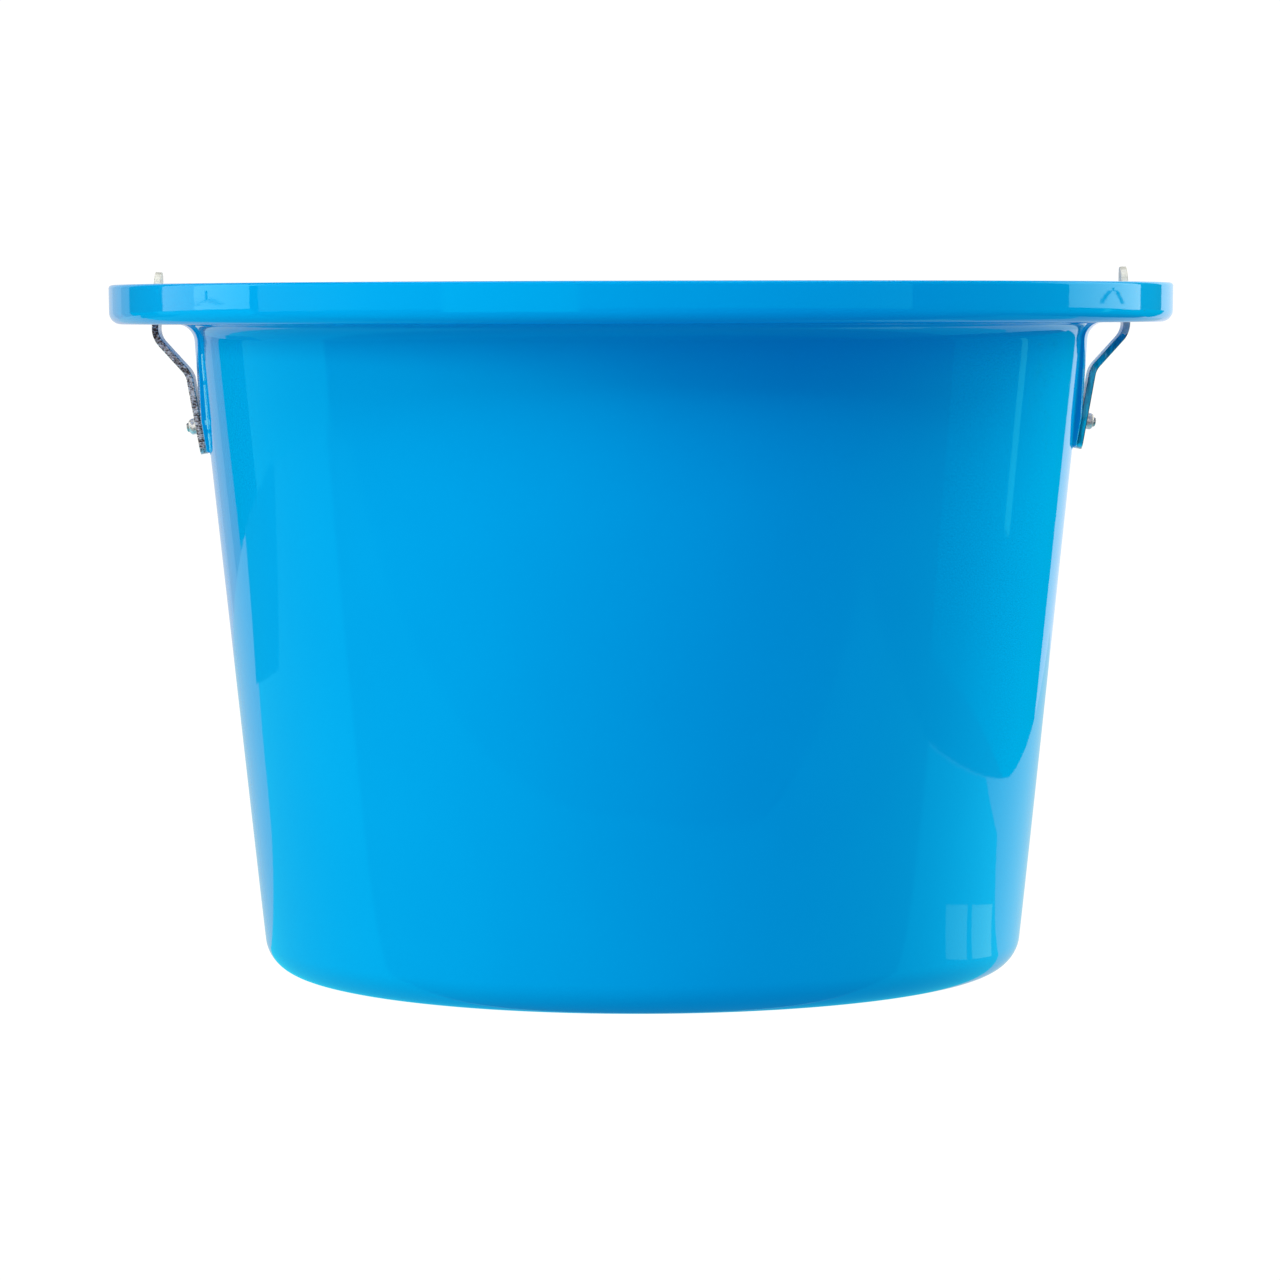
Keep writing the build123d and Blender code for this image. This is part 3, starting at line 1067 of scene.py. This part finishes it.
def make_lamp_stand(name, azimuth, heights, leg_spread, width):
    """Dark lamp stand, only reflected: a pole from head to fork and two legs to the foot."""
    head, fork, foot = heights
    vertices = []
    faces = []
    limbs = ((head, fork, 0.0), (fork, foot, -leg_spread), (fork, foot, leg_spread))
    for upper, lower, reach in limbs:
        first = len(vertices)
        across = 2 * width if reach else width
        for height, aside in ((upper, 0.0), (lower, reach)):
            for side in (-0.5, 0.5):
                turn = math.radians(azimuth + aside + side * across)
                x, y = STAND_DISTANCE * math.sin(turn), STAND_DISTANCE * math.cos(turn)
                vertices.append((x, y, height))
        faces.append((first, first + 1, first + 3, first + 2))
    make_reflector(name, vertices, faces, STAND_COLOUR)


def make_sheet(name, outline, level, colour):
    """Flat reflector with an outline, lying at a level."""
    faces = [tuple(range(len(outline)))]
    make_reflector(name, level_points(outline, level), faces, colour)


def make_sheets():
    """Paper under the bucket, its tinted parts, two small low panes, and a sheet overhead."""
    paper = [(-1.5, 1.6), (-1.5, -0.12), (0.55, -0.12), (0.51, 0.28), (0.65, 1.6)]
    make_sheet("sheet", paper, -0.01, (0.55, 0.74, 0.80))
    left = [(0.0, -0.12), (-1.5, -0.12), (-1.5, 1.25), (-0.6, 0.47)]
    left += [(-0.38, 0.24), (-0.12, 0.02), (0.0, -0.03)]
    make_sheet("left_sheet", left, -0.009, (0.07, 0.82, 1.0))
    dim = [(-0.70, 0.60), (-0.78, 0.33), (-1.5, 0.5), (-1.5, 1.25)]
    make_sheet("dim_sheet", dim, -0.008, (0.02, 0.45, 0.6))
    right = [(0.0, -0.12), (0.54, -0.12), (0.52, 0.12), (0.40, 0.14)]
    right += [(0.19, 0.01), (0.12, -0.05), (0.0, -0.05)]
    make_sheet("right_sheet", right, -0.009, (0.07, 0.72, 0.84))
    apron = [(-1.5, -0.12), (-1.3, -0.30), (-0.45, -0.40), (0.0, -0.41)]
    apron += [(0.2, -0.36), (0.73, -0.48), (0.55, -0.12)]
    make_sheet("apron", apron, -0.01, (0.06, 0.24, 0.27))
    panes = (
        [(0.249, -0.066), (0.253, -0.027), (0.165, -0.060), (0.163, -0.080)],
        [(0.253, -0.018), (0.250, 0.030), (0.164, -0.032), (0.166, -0.054)],
    )
    for k, pane in enumerate(panes):
        make_sheet("low_pane_%d" % k, pane, -0.0005, (0.5, 1.2, 1.0))
    make_sheet("overhead", square(OVERHEAD_REACH), OVERHEAD_LEVEL, (1.4, 1.4, 1.4))


def make_stage():
    make_camera()
    make_world()
    make_floor()
    make_base_glow()
    make_lights()
    make_standing_panels()
    make_lamp_stand("left_stand", -81.8, (0.275, 0.2478, 0.2436), 5.2, 0.9)
    make_lamp_stand("right_stand", 67.2, (0.285, 0.2605, 0.2450), 5.0, 1.0)
    make_sheets()
    bpy.context.scene.view_settings.view_transform = "Standard"


# ---------------------------------------------------------------- the object

EVEN = (1, 1, 1)
CROSSWISE = (1, 1, 2.2)

make_stage()

plastic = plastic_material(
    "light_blue_polypropylene", dark=(0.0, 0.300, 0.785), bright=(0.0, 0.320, 0.815)
)
# Paler copy of the plastic: a painted highlight along the ridge of the left pad.
bead_highlight = plastic_material(
    "pale_painted_bead_highlight", dark=(0.10, 0.55, 0.90), bright=(0.30, 0.72, 0.98)
)
zinc = metal_material(
    "zinc_plated_strip", dark=(0.50, 0.50, 0.49), bright=(0.80, 0.80, 0.79),
    roughness=(0.16, 0.34), scale=300, stretch=(1, 1, 0.2), depth=0.1, metallic=0.6,
)
# Cut edge of the left strap below the ledge: real scratches, and a dark brown that is painted
# shade, the shade under the ledge.
sheared_and_shaded = metal_material(
    "sheared_and_shaded_edge", dark=(0.07, 0.043, 0.04), bright=(0.88, 0.78, 0.81),
    roughness=(0.3, 0.55), scale=700, stretch=CROSSWISE, depth=0.6, metallic=0.7,
)
# Pale grey for the strap ends above the lip: partly worn zinc, partly painted light where the ends
# catch the overhead light.
scuffed_and_lit = metal_material(
    "scuffed_and_lit_end", dark=(0.64, 0.65, 0.635), bright=(0.72, 0.73, 0.715),
    roughness=(0.35, 0.5), scale=900, stretch=CROSSWISE, depth=0.1, metallic=0.5,
)
burnished = metal_material(
    "burnished_edge", dark=(0.36, 0.37, 0.38), bright=(0.66, 0.67, 0.68),
    roughness=(0.06, 0.16), scale=500, stretch=(1, 1, 0.1), depth=0.05,
)
aluminium = metal_material(
    "rivet_aluminium", dark=(0.62, 0.61, 0.65), bright=(0.92, 0.91, 0.96),
    roughness=(0.28, 0.42), scale=700, stretch=EVEN, depth=0.15, metallic=0.6,
)
mandrel_steel = metal_material(
    "mandrel_steel", dark=(0.35, 0.35, 0.35), bright=(0.65, 0.65, 0.65),
    roughness=(0.3, 0.5), scale=800, stretch=EVEN, depth=0.25, metallic=0.9,
)
washer_steel = metal_material(
    "washer_zinc", dark=(0.45, 0.45, 0.45), bright=(0.72, 0.72, 0.71),
    roughness=(0.22, 0.4), scale=400, stretch=EVEN, depth=0.12,
)

make_tub(plastic, bead_highlight)
make_strap("left", zinc, sheared_and_shaded, scuffed_and_lit, edge_slant=0.05, worn_and_lit_from=LEDGE_UNDER + 6)
make_strap("right", zinc, burnished, scuffed_and_lit, edge_slant=0.7, worn_and_lit_from=LEDGE_UNDER - 5)
for side in SIDES:
    make_rivet(side, aluminium, mandrel_steel, washer_steel)
make_bail(wire_material())
